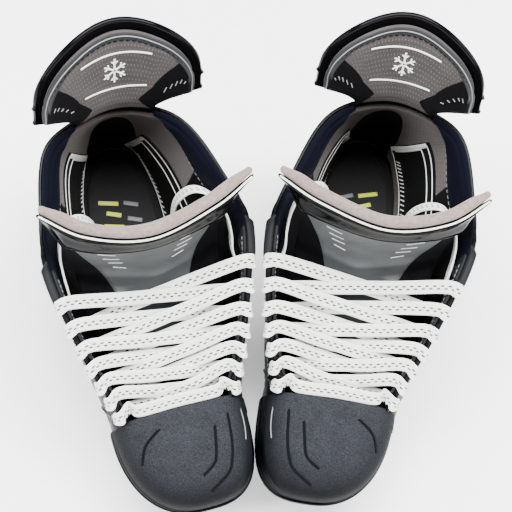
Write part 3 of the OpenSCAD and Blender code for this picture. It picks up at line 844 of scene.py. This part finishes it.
def cap_seen_from_above(x, y):
    """The point of the cap's face under (x, y), by damped Newton steps."""
    u, v = 0.5 - 0.4 * x / CAP_W, 0.5 + 0 * y
    e = 0.02
    for _ in range(60):
        p = cap(u, v)
        du, dv = (cap(u + e, v) - p) / e, (cap(u, v + e) - p) / e
        det = du[..., 0] * dv[..., 1] - du[..., 1] * dv[..., 0]
        gx, gy = x - p[..., 0], y - p[..., 1]
        u = np.clip(u + 0.5 * (gx * dv[..., 1] - gy * dv[..., 0]) / det, 0.03, 0.97)
        v = np.clip(v + 0.5 * (gy * du[..., 0] - gx * du[..., 1]) / det, 0.02, 0.96)
    return cap(u, v)


def make_toe(side):
    us = np.linspace(0, 1, 220)
    vs = 0.985 * (1 - (1 - np.linspace(0, 1, 170)) ** 1.6)
    shape = skin(cap, us, vs, cap_relief, -2.2)
    make(side, "toe", "boot", shape, "toe_grain_and_painted_shade", ["toe_cap"])
    # painted shade: dark strips laid in the moulded grooves of the cap
    dark = []
    for line in CAP_GROOVES:
        q = curve(line, np.linspace(0, len(line) - 1, 40))
        dark.append(stroke(cap_seen_from_above, q[::3], 1.9, -0.4, 0.5))
    make(side, "toe_groove_shade", "boot", joined(dark), "dark_panel_and_painted_shade")
    ridge = [[-40, -82], [-41, -92], [-40.5, -102], [-39, -110]]
    # painted highlight: a pale line that stands in for the light on a moulded edge
    make(side, "toe_ridge_highlight", "boot", stroke(cap_seen_from_above, ridge, 0.9, 0.3, 0.8, square=1),
         "print_grey")
    # the glossy bumper that runs round the foot of the cap
    a = np.pi * np.linspace(0, 1, 160)
    run, proud = spow(np.sin(a), 0.8), 0.7
    p = np.stack([CAP_SHIFT * run ** 2 + (CAP_W + proud) * spow(np.cos(a), 0.75),
                  CAP_Y - (CAP_L + proud) * run, deck_at(CAP_Y - CAP_L * run) + 3.2], -1)
    make(side, "toe_bumper", "boot", tube(p, 6.4, 2.2, np.array([0, 0, 1.0]), 12, 0.6),
         "gloss_black")


# ---------------------------------------------------------------- shell
def heel_cup(w):
    """The height of the heel counter's stitched top edge."""
    return 1.78 + 0.12 * (w - 5)


def shell_relief(u, v):
    """Stays at the throat, the heel cup, two sweeping waves, ribs at the toe and a cuff."""
    s = (THROAT_TOP - v) * top_reach(u)
    w = near_front(u)
    stay = smooth_step(17, 15.6, s + 3 * (w - 1)) * smooth_step(2.35, 2.2, w)
    cup = heel_cup(w)
    heel = smooth_step(4.0, 4.12, w) * smooth_step(cup + 0.12, cup, v)
    sweep = v - 0.62 - 0.34 * (w - 1)
    wave = 0.75 * bell(sweep, 0, 0.05) + 0.75 * bell(sweep, 0.28, 0.05)
    wave = wave * smooth_step(0.9, 1.2, w) * smooth_step(3.95, 3.6, w) * smooth_step(2.4, 2.1, v)
    ribs = np.clip(np.sin(w * TURN / 0.062), 0, 1) * 0.55
    ribs = ribs * smooth_step(0.55, 0.45, w) * smooth_step(0.4, 0.6, v) * smooth_step(2.2, 2.0, v)
    rolled = 0.5 * smooth_step(2.2, 1.2, s)
    cuff = 0.6 * smooth_step(0.16, 0.14, np.abs(v - 2.42)) * smooth_step(2.6, 2.8, w)
    return 0.8 * stay + 0.9 * heel - wave + ribs + rolled + cuff


def make_shell(side):
    shape = skin(shell, np.linspace(0, RIM_END, 460), np.linspace(0, THROAT_TOP, 120),
                 shell_relief, -SHELL_T)
    make(side, "quarters", "boot", shape, "shell_gloss",
         ["shell_outer", "shell_inner", "heel_counter"])
    seams = []
    for u0, u1 in ((0.2, 2.05), (11.8, 9.95)):
        u = np.linspace(u0, u1, 160)
        s = 13.6 - 3 * (near_front(u) - 1)
        p, n = below_edge(u, s), normal_at(edge_band, u, -s)
        seams.append(stitches(p + 0.85 * n, n, 2.6, 1.2, 0.5))
    for offset in (0.05, 0.1):
        u = np.linspace(4.3, 7.7, 260)
        v = heel_cup(near_front(u)) - offset
        n = normal_at(shell, u, v)
        seams.append(stitches(shell(u, v) + 0.95 * n, n, 2.6, 1.2, 0.5))
    make(side, "quarter_seams", "boot", joined(seams), "thread_grey")
    # a soft cord of piping where the cap's overlay meets the quarter
    knots = ((0.62, 0.25), (0.5, 1.0), (0.34, 1.7), (0.2, 2.3), (0.14, 2.75))
    pipes = [stroke(shell, [[rim_u(k, u), v] for u, v in knots], 1.6, 0.5, 1.5, square=1)
             for k in (1, -1)]
    make(side, "toe_piping", "boot", joined(pipes), "grey_trim")
    # a glossy bead along the throat's edge
    beads = [stroke(edge_band, [[rim_u(k, u), -0.9] for u in (0.02, 0.7, 1.4, 2.1)],
                    2.4, -1.2, 3.4, square=0.7) for k in (1, -1)]
    make(side, "throat_beads", "boot", joined(beads), "gloss_black")
    wings, start, end = [], 1.55, 2.12
    for k in (1, -1):
        def bevel(u, v):
            from_ends = np.minimum(np.abs(u - rim_u(k, start)), np.abs(u - rim_u(k, end)))
            return 3.6 * smooth_step(0, 0.12, np.minimum(from_ends, (v + 9.5) / 30)) - 0.4
        wings.append(skin(edge_band, side_span(k, start, end, 26), np.linspace(-9, 1.2, 22),
                          bevel, -SHELL_T - 0.2, 0.6))
    make(side, "throat_wings", "boot", joined(wings), "grey_trim")


def make_facings(side):
    for k, end in ((1, "outer"), (-1, "inner")):
        ribbed = lambda u, v: LINED - 2.0 - 0.35 * np.abs(np.sin(u * 60))
        shape = skin(edge_band, side_span(k, 0.06, 2.0, 200), np.linspace(-15, 0.6, 30),
                     LINED, ribbed)
        make(side, f"facing_strip_{end}", "boot", shape, "grey_trim",
             [f"facing_{end}"])
        u = np.linspace(rim_u(k, 0.15), rim_u(k, 1.9), 150)
        s = np.full_like(u, 2.2)
        n = -normal_at(edge_band, u, -s)
        seam = stitches(below_edge(u, s) + (2.4 - LINED) * n, n, 2.4, 1.4, 0.5)
        make(side, f"facing_seam_{end}", "boot", seam, "thread_grey")


# ---------------------------------------------------------------- padding and lining
def band_low(u):
    """Where the dark collar band ends below, and the pale lining begins."""
    w = near_front(u)
    return 2.6 + 0.42 * smooth_step(3.3, 4.9, w)


def lining_puff(u, v):
    """The lining swells over its ankle padding and pulls in at its borders."""
    w = near_front(u)
    edge = smooth_step(0.3, 0.6, v) * smooth_step(3.04, 2.8, v)
    ankle = 5.5 * bell(v, 1.35, 0.8) * bell(w, 4.6, 1.2)
    return LINED - 2.2 - 1.8 * edge - ankle


def between_edges(low, high):
    """The shell between two heights that change along the rim, as its own surface."""
    return lambda u, t: shell(u, low(u) + (high(u) - low(u)) * t)


def on_lining(u, v, lift):
    return shell(u, v) + (lining_puff(u, v) - lift)[..., None] * normal_at(shell, u, v)


# corners of the dark ankle panels, as (u, v) on the shell from heel low round to front low
ANKLE_PANELS = {"outer": [[5.15, 1.1], [4.5, 2.4], [2.7, 2.05], [2.7, 0.9]],
                "inner": [[5.5, 0.7], [4.95, 1.95], [2.7, 1.85], [2.7, 0.5]]}


def panel_surface(end, lift):
    """The dark ankle panel: a runs from the heel forwards, b up the wall."""
    heel_low, heel_high, front_high, front_low = np.array(ANKLE_PANELS[end], float)

    def at(a, b):
        a, b = (x[..., None] for x in as_grid(a, b))
        low, high = heel_low * (1 - a) + front_low * a, heel_high * (1 - a) + front_high * a
        q = low * (1 - b) + high * b
        u = q[..., 0] if end == "outer" else RIM_END - q[..., 0]
        return on_lining(u, q[..., 1], lift)
    return at


def make_lining(side):
    top, foot = (lambda u: np.minimum(band_low(u), 2.88)), (lambda u: 0.3 + 0 * u)
    surface = between_edges(foot, top)
    puff = lambda u, t: lining_puff(u, foot(u) + (top(u) - foot(u)) * t)
    back = skin(surface, np.linspace(3.38, 8.62, 220), np.linspace(0, 1, 90), LINED, puff)
    lining = make(side, "ankle_lining", "boot", back, "microfibre", ["liner"])
    fronts = [skin(surface, np.linspace(u0, u1, 90), np.linspace(0, 1, 70), LINED, puff)
              for u0, u1 in ((1.15, 3.36), (8.64, 10.85))]
    quarter = make(side, "quarter_lining", "boot", joined(fronts), "dark_panel_and_painted_shade")
    panels_and_shade, outlines = [], []
    for end in ANKLE_PANELS:
        panels_and_shade.append(skin(panel_surface(end, 0.1), np.linspace(0, 1, 60), np.linspace(0, 1, 40),
                           0.3, -0.3))
        printed = panel_surface(end, 0.45)
        for inset, wide in ((0.035, 3.4), (0.17, 1.6)):
            top, edge = 0.97 - inset, inset / 3
            outlines += [
                stroke(printed, [[0.8, top], [0.4, top], [0.04 + edge, top]], 1.1, 0.0, 0.5),
                stroke(printed, [[0.035 + edge, top], [0.035 + edge, 0.5],
                                 [0.035 + edge, 0.03 + inset]], wide, 0.0, 0.5)]
        outlines.append(stroke(printed, [[a, 0.05] for a in (0.05, 0.4, 0.9)], 0.9, 0.0, 0.5))
        for k in range(16):
            a = 0.24 + 0.035 * k
            outlines.append(stroke(printed, [[a, 0.12], [a + 0.018, 0.24]], 0.8, 0.0, 0.4))
    # painted shade: a dark sheet over the lining behind the heel, where the pocket gets no light
    shade_sheet_top = lambda u: 2.75 - 1.2 * ((u - HEEL) / 0.95) ** 2
    shade_sheet = lambda u, t: on_lining(u, 0.35 + (shade_sheet_top(u) - 0.35) * t, 0.1)
    panels_and_shade.append(skin(shade_sheet, np.linspace(5.05, 6.95, 60), np.linspace(0, 1, 50), 0.3, -0.3))
    make(side, "ankle_panels_and_heel_shade", "boot", joined(panels_and_shade), "dark_panel_and_painted_shade")
    make(side, "ankle_outlines", "boot", joined(outlines), "print_white")
    make_collar(side)


def collar_crown(u, t):
    """The knitted band's inner face: plump over its cushion and thin towards the tongue."""
    w = near_front(u)
    plump = 0.6 + 4.6 * smooth_step(2.4, 3.3, w) * smooth_step(5.0, 4.4, w)
    round_ = 0.35 + 0.65 * np.sqrt(np.clip(np.sin(np.pi * t), 0, 1))
    return LINED - 1.4 - 1.4 * smooth_step(2.4, 3.3, w) - plump * round_


def make_collar(side):
    wall = between_edges(band_low, lambda u: 3.05 + 0 * u)
    for end, (u0, u1) in (("outer", (2.0, 4.95)), ("inner", (7.05, 10.0))):
        shape = skin(wall, np.linspace(u0, u1, 150), np.linspace(-0.12, 1, 40), LINED,
                     collar_crown, 1.0, 8)
        pad = make(side, f"collar_cushion_{end}", "boot", shape, "collar_knit",
                   [f"collar_pad_{end}"])
        u = np.linspace(u0 + 0.1, u1 - 0.2, 200)
        level = 0 * u
        inwards = -normal_at(wall, u, 0.5 + level)
        depth = -collar_crown(u, 0.03 + level) + 0.4
        seam = stitches(wall(u, 0.02 + level) + depth[:, None] * inwards, inwards, 2.4, 1.6, 0.45)
        make(side, f"collar_seam_{end}", "boot", seam, "thread_grey")


def sole_outline(inset, count=120):
    """The foot of the cap and shell as one closed outline in plan, drawn in by the inset."""
    u = np.linspace(0.02, 0.98, count)
    t = np.radians(180 * u - 90)
    run = spow(np.cos(t), 0.8)
    front = np.stack([CAP_SHIFT * run ** 2 - (CAP_W - inset) * spow(np.sin(t), 0.75),
                      CAP_Y - (CAP_L - inset) * run], -1)
    p = shell(np.linspace(RIM_END - 0.1, 0.1, 2 * count), 0.0)
    s = 1 - inset / np.maximum(25, np.abs(p[:, 0]))
    back = np.stack([p[:, 0] * s, p[:, 1] - inset * np.clip((p[:, 1] - 90) / 35, 0, None)], -1)
    return np.concatenate([front, back])


def disc(outline, layers, centre=(0, -10)):
    """A flat solid with a rounded edge from inset outlines: layers of (inset factor, height)."""
    centre = np.array(centre, float)
    rings, n = [], len(outline)
    for shrink, z in layers:
        q = centre + (outline - centre) * shrink
        rings.append(np.concatenate([q, (deck_at(q[:, 1]) + z)[:, None]], -1))
    verts = np.concatenate(rings + [[[*centre, deck_at(centre[1]) + layers[0][1]]],
                                    [[*centre, deck_at(centre[1]) + layers[-1][1]]]])
    faces, i = [], np.arange(n)
    j = (i + 1) % n
    for k in range(len(layers) - 1):
        faces += list(np.stack([k * n + i, k * n + j, (k + 1) * n + j, (k + 1) * n + i], -1))
    end = (len(layers) - 1) * n
    total = len(layers) * n
    faces += list(np.stack([np.full(n, total), j, i], -1))
    faces += list(np.stack([np.full(n, total + 1), end + i, end + j], -1))
    return verts, faces, verts[:, :2] * MM


def make_footbed(side):
    outline = sole_outline(8.6)
    layers = [(0.96, 1.0), (1.0, 2.2), (1.0, 4.6), (0.985, 5.3), (0.95, 5.5), (0.8, 5.3),
              (0.5, 5.0), (0.2, 4.9)]
    # the insole board under it covers the deck, with its rivet heads
    board = disc(sole_outline(2.7), [(0.99, 0.05), (1.0, 0.3), (1.0, 0.7), (0.99, 0.9)])
    make(side, "footbed_sheet", "boot", joined([disc(outline, layers), board]), "footbed_knit",
         ["footbed"])
    bars = {"print_lime": [(9, 84, 14), (7, 75, 10), (9, 66, 14)],
            "print_grey": [(-7, 80, 10), (-7, 68, 10)]}
    for finish_name, rows in bars.items():
        shapes = []
        for x, y, long in rows:
            q = curve([[x + k * long / 2, y + 2 * k, 0] for k in (-1, 0, 1)],
                      np.linspace(0, 2, 12))
            q[:, 2] = deck_at(q[:, 1]) + 5.25
            shapes.append(tube(q, 3.2, 0.5, np.array([0, 1.0, 0]), 8, 0.4))
        make(side, finish_name.replace("print", "footbed_bars"), "boot", joined(shapes), finish_name)


# ---------------------------------------------------------------- tongue
def make_tongue(side):
    front = lambda u, v: 0.35 * bell(v, 4.95, 0.05)
    back = lambda u, v: -TONGUE_T - 3 * smooth_step(3.3, 2.7, v)
    shape = skin(tongue, np.linspace(0, 4, 110), np.linspace(0, 5.88, 170), front, back)
    body = make(side, "tongue_body", None, shape, "dark_panel_and_painted_shade",
                ["tongue_base", "tongue_shell"])
    # the satin face panel narrows from the hood down to the laces
    half = lambda v: 0.8 + 1.05 * np.clip((v - 2.4) / 2.3, 0, 1)
    face = lambda a, v: tongue(2 + a * half(v), v)
    edge = lambda a, v: 0.15 + 0.55 * smooth_step(1.0, 0.93, np.abs(a))
    panel = make(side, "tongue_face", None,
                 skin(face, np.linspace(-1, 1, 70), np.linspace(1.2, 5.0, 130), edge, -0.3),
                 "tongue_satin")
    low, high = (tuple(place(side, tongue(np.float64(2), np.float64(v)))) for v in (2.75, 3.35))
    for piece in (body, panel):
        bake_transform(piece)
    from_side = lambda u: np.minimum(u, 4 - u)

    def hood_top(u, v):
        bulge = 0.8 + 4.8 * smooth_step(5.8, 4.95, v)
        return 0.5 + bulge * smooth_step(4.7, 4.88, v) * smooth_step(0.08, 0.5, from_side(u))

    hood = skin(tongue, np.linspace(0.06, 3.94, 120), np.linspace(4.72, 5.86, 60), hood_top,
                LAYER_GAP - 0.2)
    make(side, "hood", "tongue", hood, "gloss_black", ["tongue_hood"])
    felt_top = -TONGUE_T - LAYER_GAP
    plump = lambda u, v: felt_top - FELT_T + 2.6 * smooth_step(0.5, 0.0, from_side(u))
    shape = skin(tongue, np.linspace(0.05, 3.95, 120), np.linspace(3.12, 6.02, 90), felt_top,
                 plump, 1.0, 8)
    felt = make(side, "felt", "tongue", shape, "felt", ["tongue_felt"])
    # scalloped white binding between the felt and the hood
    t = np.linspace(0, 1, 420)
    u = 0.04 + 3.92 * t
    v = 5.925 + 0.012 * np.abs(np.sin(t * np.pi * 46))
    n = normal_at(tongue, u, v)
    p = tongue(u, v) - 0.6 * n
    make(side, "felt_binding", "tongue", tube(p, 1.3, 1.1, n, 8, 1), "thread_white")
    pipes = [stroke(tongue, [[u0, v0] for u0 in (0.1, 1, 2, 3, 3.9)], 1.2, 0.4, 1.2, square=1)
             for v0 in (4.66, 4.57)]
    make(side, "hood_piping", "tongue", joined(pipes), "satin_black")
    ticks = []
    for k in range(5):
        v0 = 4.5 - 0.29 * k
        for s in (-1, 1):
            a, b = 2 + s * (1.12 - 0.08 * k), 2 + s * (0.72 - 0.05 * k)
            ticks.append(stroke(tongue, [[a, v0], [b, v0 - 0.15]], 0.6, 0.8, 0.4))
    make(side, "tongue_ticks", "tongue", joined(ticks), "print_white")


# ---------------------------------------------------------------- tendon guard
def make_guard(side):
    span = np.linspace(-0.93, 0.93, 150)
    border = lambda u, v: 0.5 + 0.9 * smooth_step(0.86, 0.93, v) * smooth_step(0.93, 0.8, np.abs(u))
    plate = skin(guard, span, np.linspace(0, 1, 90), border, -GUARD_T, 1.0, 8)
    make(side, "guard_plate", "guard", plate, "gloss_black", ["tendon_guard"])

    def soft(u, v):
        ends = smooth_step(0, 0.14, np.minimum(v, 1 - v))
        return -GUARD_T - LAYER_GAP - 2.6 - 1.9 * ends * smooth_step(0, 0.12, 0.93 - np.abs(u))

    cushion = skin(guard_face, span * 0.985, np.linspace(0.015, 0.985, 90),
                   -GUARD_T - LAYER_GAP, soft, 1.0, 8)
    pad = make(side, "guard_cushion", "guard", cushion, "guard_knit",
               ["guard_pad"])

    def face(u, v):
        u, v = as_grid(u, v)
        return guard_face(u, v) + soft(u, v)[..., None] * normal_at(guard_face, u, v)

    patches, dashes = [], []
    brow = [[0.235, 0.16], [0.35, 0.34], [0.46, 0.51], [0.56, 0.68], [0.66, 0.87],
            [0.77, 0.88], [0.85, 0.72]]
    for s in (1, -1):
        def corner(a, b, s=s):
            a, b = as_grid(a, b)
            a = a if s > 0 else 1 - a
            low = np.stack([0.34 + 0.54 * a, 0.015 + 0 * a], -1)
            high = curve(brow, 6 * a)
            q = low + (high - low) * b[..., None]
            return face(s * q[..., 0], q[..., 1])
        patches.append(skin(corner, np.linspace(0, 1, 50), np.linspace(0, 1, 40), 0.2, -0.6))
        for k in range(5):
            a = 0.3 + 0.11 * k
            a = a if s > 0 else 1 - a
            dashes.append(stroke(corner, [[a, 0.46], [a + 0.05, 0.56]], 0.55, -0.75, 0.4))
    make(side, "guard_patches", "guard", joined(patches), "dark_panel_and_painted_shade")
    make(side, "guard_dashes", "guard", joined(dashes), "thread_grey")
    # generic print: a six-armed snowflake over two curved lines
    print_, flake = [], np.array([0.0, 0.56])
    scale = np.array([0.115, 0.15])
    for k in range(6):
        a = math.pi / 3 * k + math.pi / 6
        d = np.array([math.cos(a), math.sin(a)])
        print_.append(stroke(face, [flake + 0.1 * d * scale, flake + d * scale], 1.3, -0.15, 0.4))
        for turn in (0.8, -0.8):
            e = np.array([math.cos(a + turn), math.sin(a + turn)])
            twig = [flake + 0.55 * d * scale, flake + (0.55 * d + 0.35 * e) * scale]
            print_.append(stroke(face, twig, 1.0, -0.15, 0.4))
    for v0, reach in ((0.34, 0.3), (0.79, 0.34)):
        arc = [[-reach, v0 + 0.03], [-reach / 2, v0], [0, v0 - 0.012], [reach / 2, v0],
               [reach, v0 + 0.03]]
        print_.append(stroke(face, arc, 1.5, -0.15, 0.4))
    make(side, "guard_print", "guard", joined(print_), "print_white")
    half = [[0.84, 0.12], [0.85, 0.5], [0.81, 0.84], [0.6, 0.91], [0.3, 0.92]]
    rim = half + [[0, 0.92]] + [[-u, v] for u, v in reversed(half)]
    grown = lambda by: [[u * (1 + by), 0.5 + (v - 0.5) * (1 + 1.25 * by)] for u, v in rim]
    binding = stroke(face, grown(0.07), 5.6, -0.1, 1.0, square=0.8)
    make(side, "guard_binding", "guard", binding, "binding")
    line, n = traced(face, rim, -0.2)
    make(side, "guard_stitches", "guard", stitches(line, -n, 2.4, 1.3, 0.6), "dark_panel_and_painted_shade")
    border_line = stroke(face, grown(0.085), 0.7, -0.75, 0.8, square=1)
    make(side, "guard_border", "guard", border_line, "print_grey")
    # the flexible web at the neck, from the shell's top up to the guard
    def neck(u, v):
        u, v = as_grid(u, v)
        low, high = shell(HEEL + 0.92 * u, 2.86 + 0 * v), guard(0.31 * u, 0.16 + 0 * v)
        return low + (high - low) * v[..., None]

    sheet = skin(neck, np.linspace(-0.9, 0.9, 60), np.linspace(0, 1, 30), 1.2, 0.35, 1.0, 8)
    web = make(side, "neck_web", None, sheet, "satin_black")
    tuple(place(side, shell(HEEL, 2.93)))
    tuple(place(side, shell(HEEL, THROAT_TOP) + [0, 1.5, 7]))
    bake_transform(web)


# ---------------------------------------------------------------- CAD shapes kept, with a finish
KEPT = {"outsole": "satin_black", "holder": "satin_black", "sole_rivets": "rivet",
        "runner": "steel", "trigger": "grey_trim", "trigger_pin": "rivet",
        "trigger_spring": "rivet", "eyelets": "enamel"}


def finish_cad(side):
    for node, name in KEPT.items():
        repaint(side, node, name)
    for node, width in (("holder", 1.2), ("outsole", 0.8), ("trigger", 0.5)):
        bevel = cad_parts[f"{side}_{node}"].modifiers.new("rounded", "BEVEL")
        bevel.width = width * MM
        bevel.segments = 3
        bevel.limit_method = "ANGLE"
        bevel.angle_limit = math.radians(35)


for side in SIDES:
    make_toe(side)
    make_shell(side)
    make_facings(side)
    make_lining(side)
    make_footbed(side)
    make_tongue(side)
    make_guard(side)
    finish_cad(side)


# ---------------------------------------------------------------- floor and light
def make_stage():
    mesh = bpy.data.meshes.new("floor")
    mesh.from_pydata([(-6, -6, 0), (6, -6, 0), (6, 6, 0), (-6, 6, 0)], [], [(0, 1, 2, 3)])
    floor = bpy.data.objects.new("floor", mesh)
    bpy.context.scene.collection.objects.link(floor)
    m = Finish("floor_paper")
    soft = m.noise(3, 3)
    m.colour(soft, (0.93, 0.94, 0.94), (0.97, 0.97, 0.97))
    m.rough(soft, 0.8, 0.95)
    mesh.materials.append(m.material)


def softbox(name, place_, aim, size, power, colour=(1, 1, 1)):
    data = bpy.data.lights.new(name, "AREA")
    data.shape = "RECTANGLE"
    data.size, data.size_y = size
    data.energy = power
    data.color = colour
    light = bpy.data.objects.new(name, data)
    bpy.context.scene.collection.objects.link(light)
    light.location = place_
    light.rotation_euler = (Vector(aim) - Vector(place_)).to_track_quat("-Z", "Y").to_euler()


make_stage()
softbox("overhead", (0.0, 0.25, 1.5), (0, 0.02, 0.12), (1.3, 0.6), 105)
softbox("left", (-1.2, 0.1, 0.8), (0, 0, 0.15), (0.3, 1.1), 26)
softbox("right", (1.25, 0.15, 0.8), (0, 0, 0.15), (0.3, 1.1), 26)
softbox("front", (0.1, -1.2, 0.75), (0, 0, 0.2), (1.1, 0.35), 26)
world = bpy.data.worlds.new("studio")
world.use_nodes = True
world.node_tree.nodes["Background"].inputs["Color"].default_value = (1, 1, 1, 1)
world.node_tree.nodes["Background"].inputs["Strength"].default_value = 0.45
bpy.context.scene.world = world
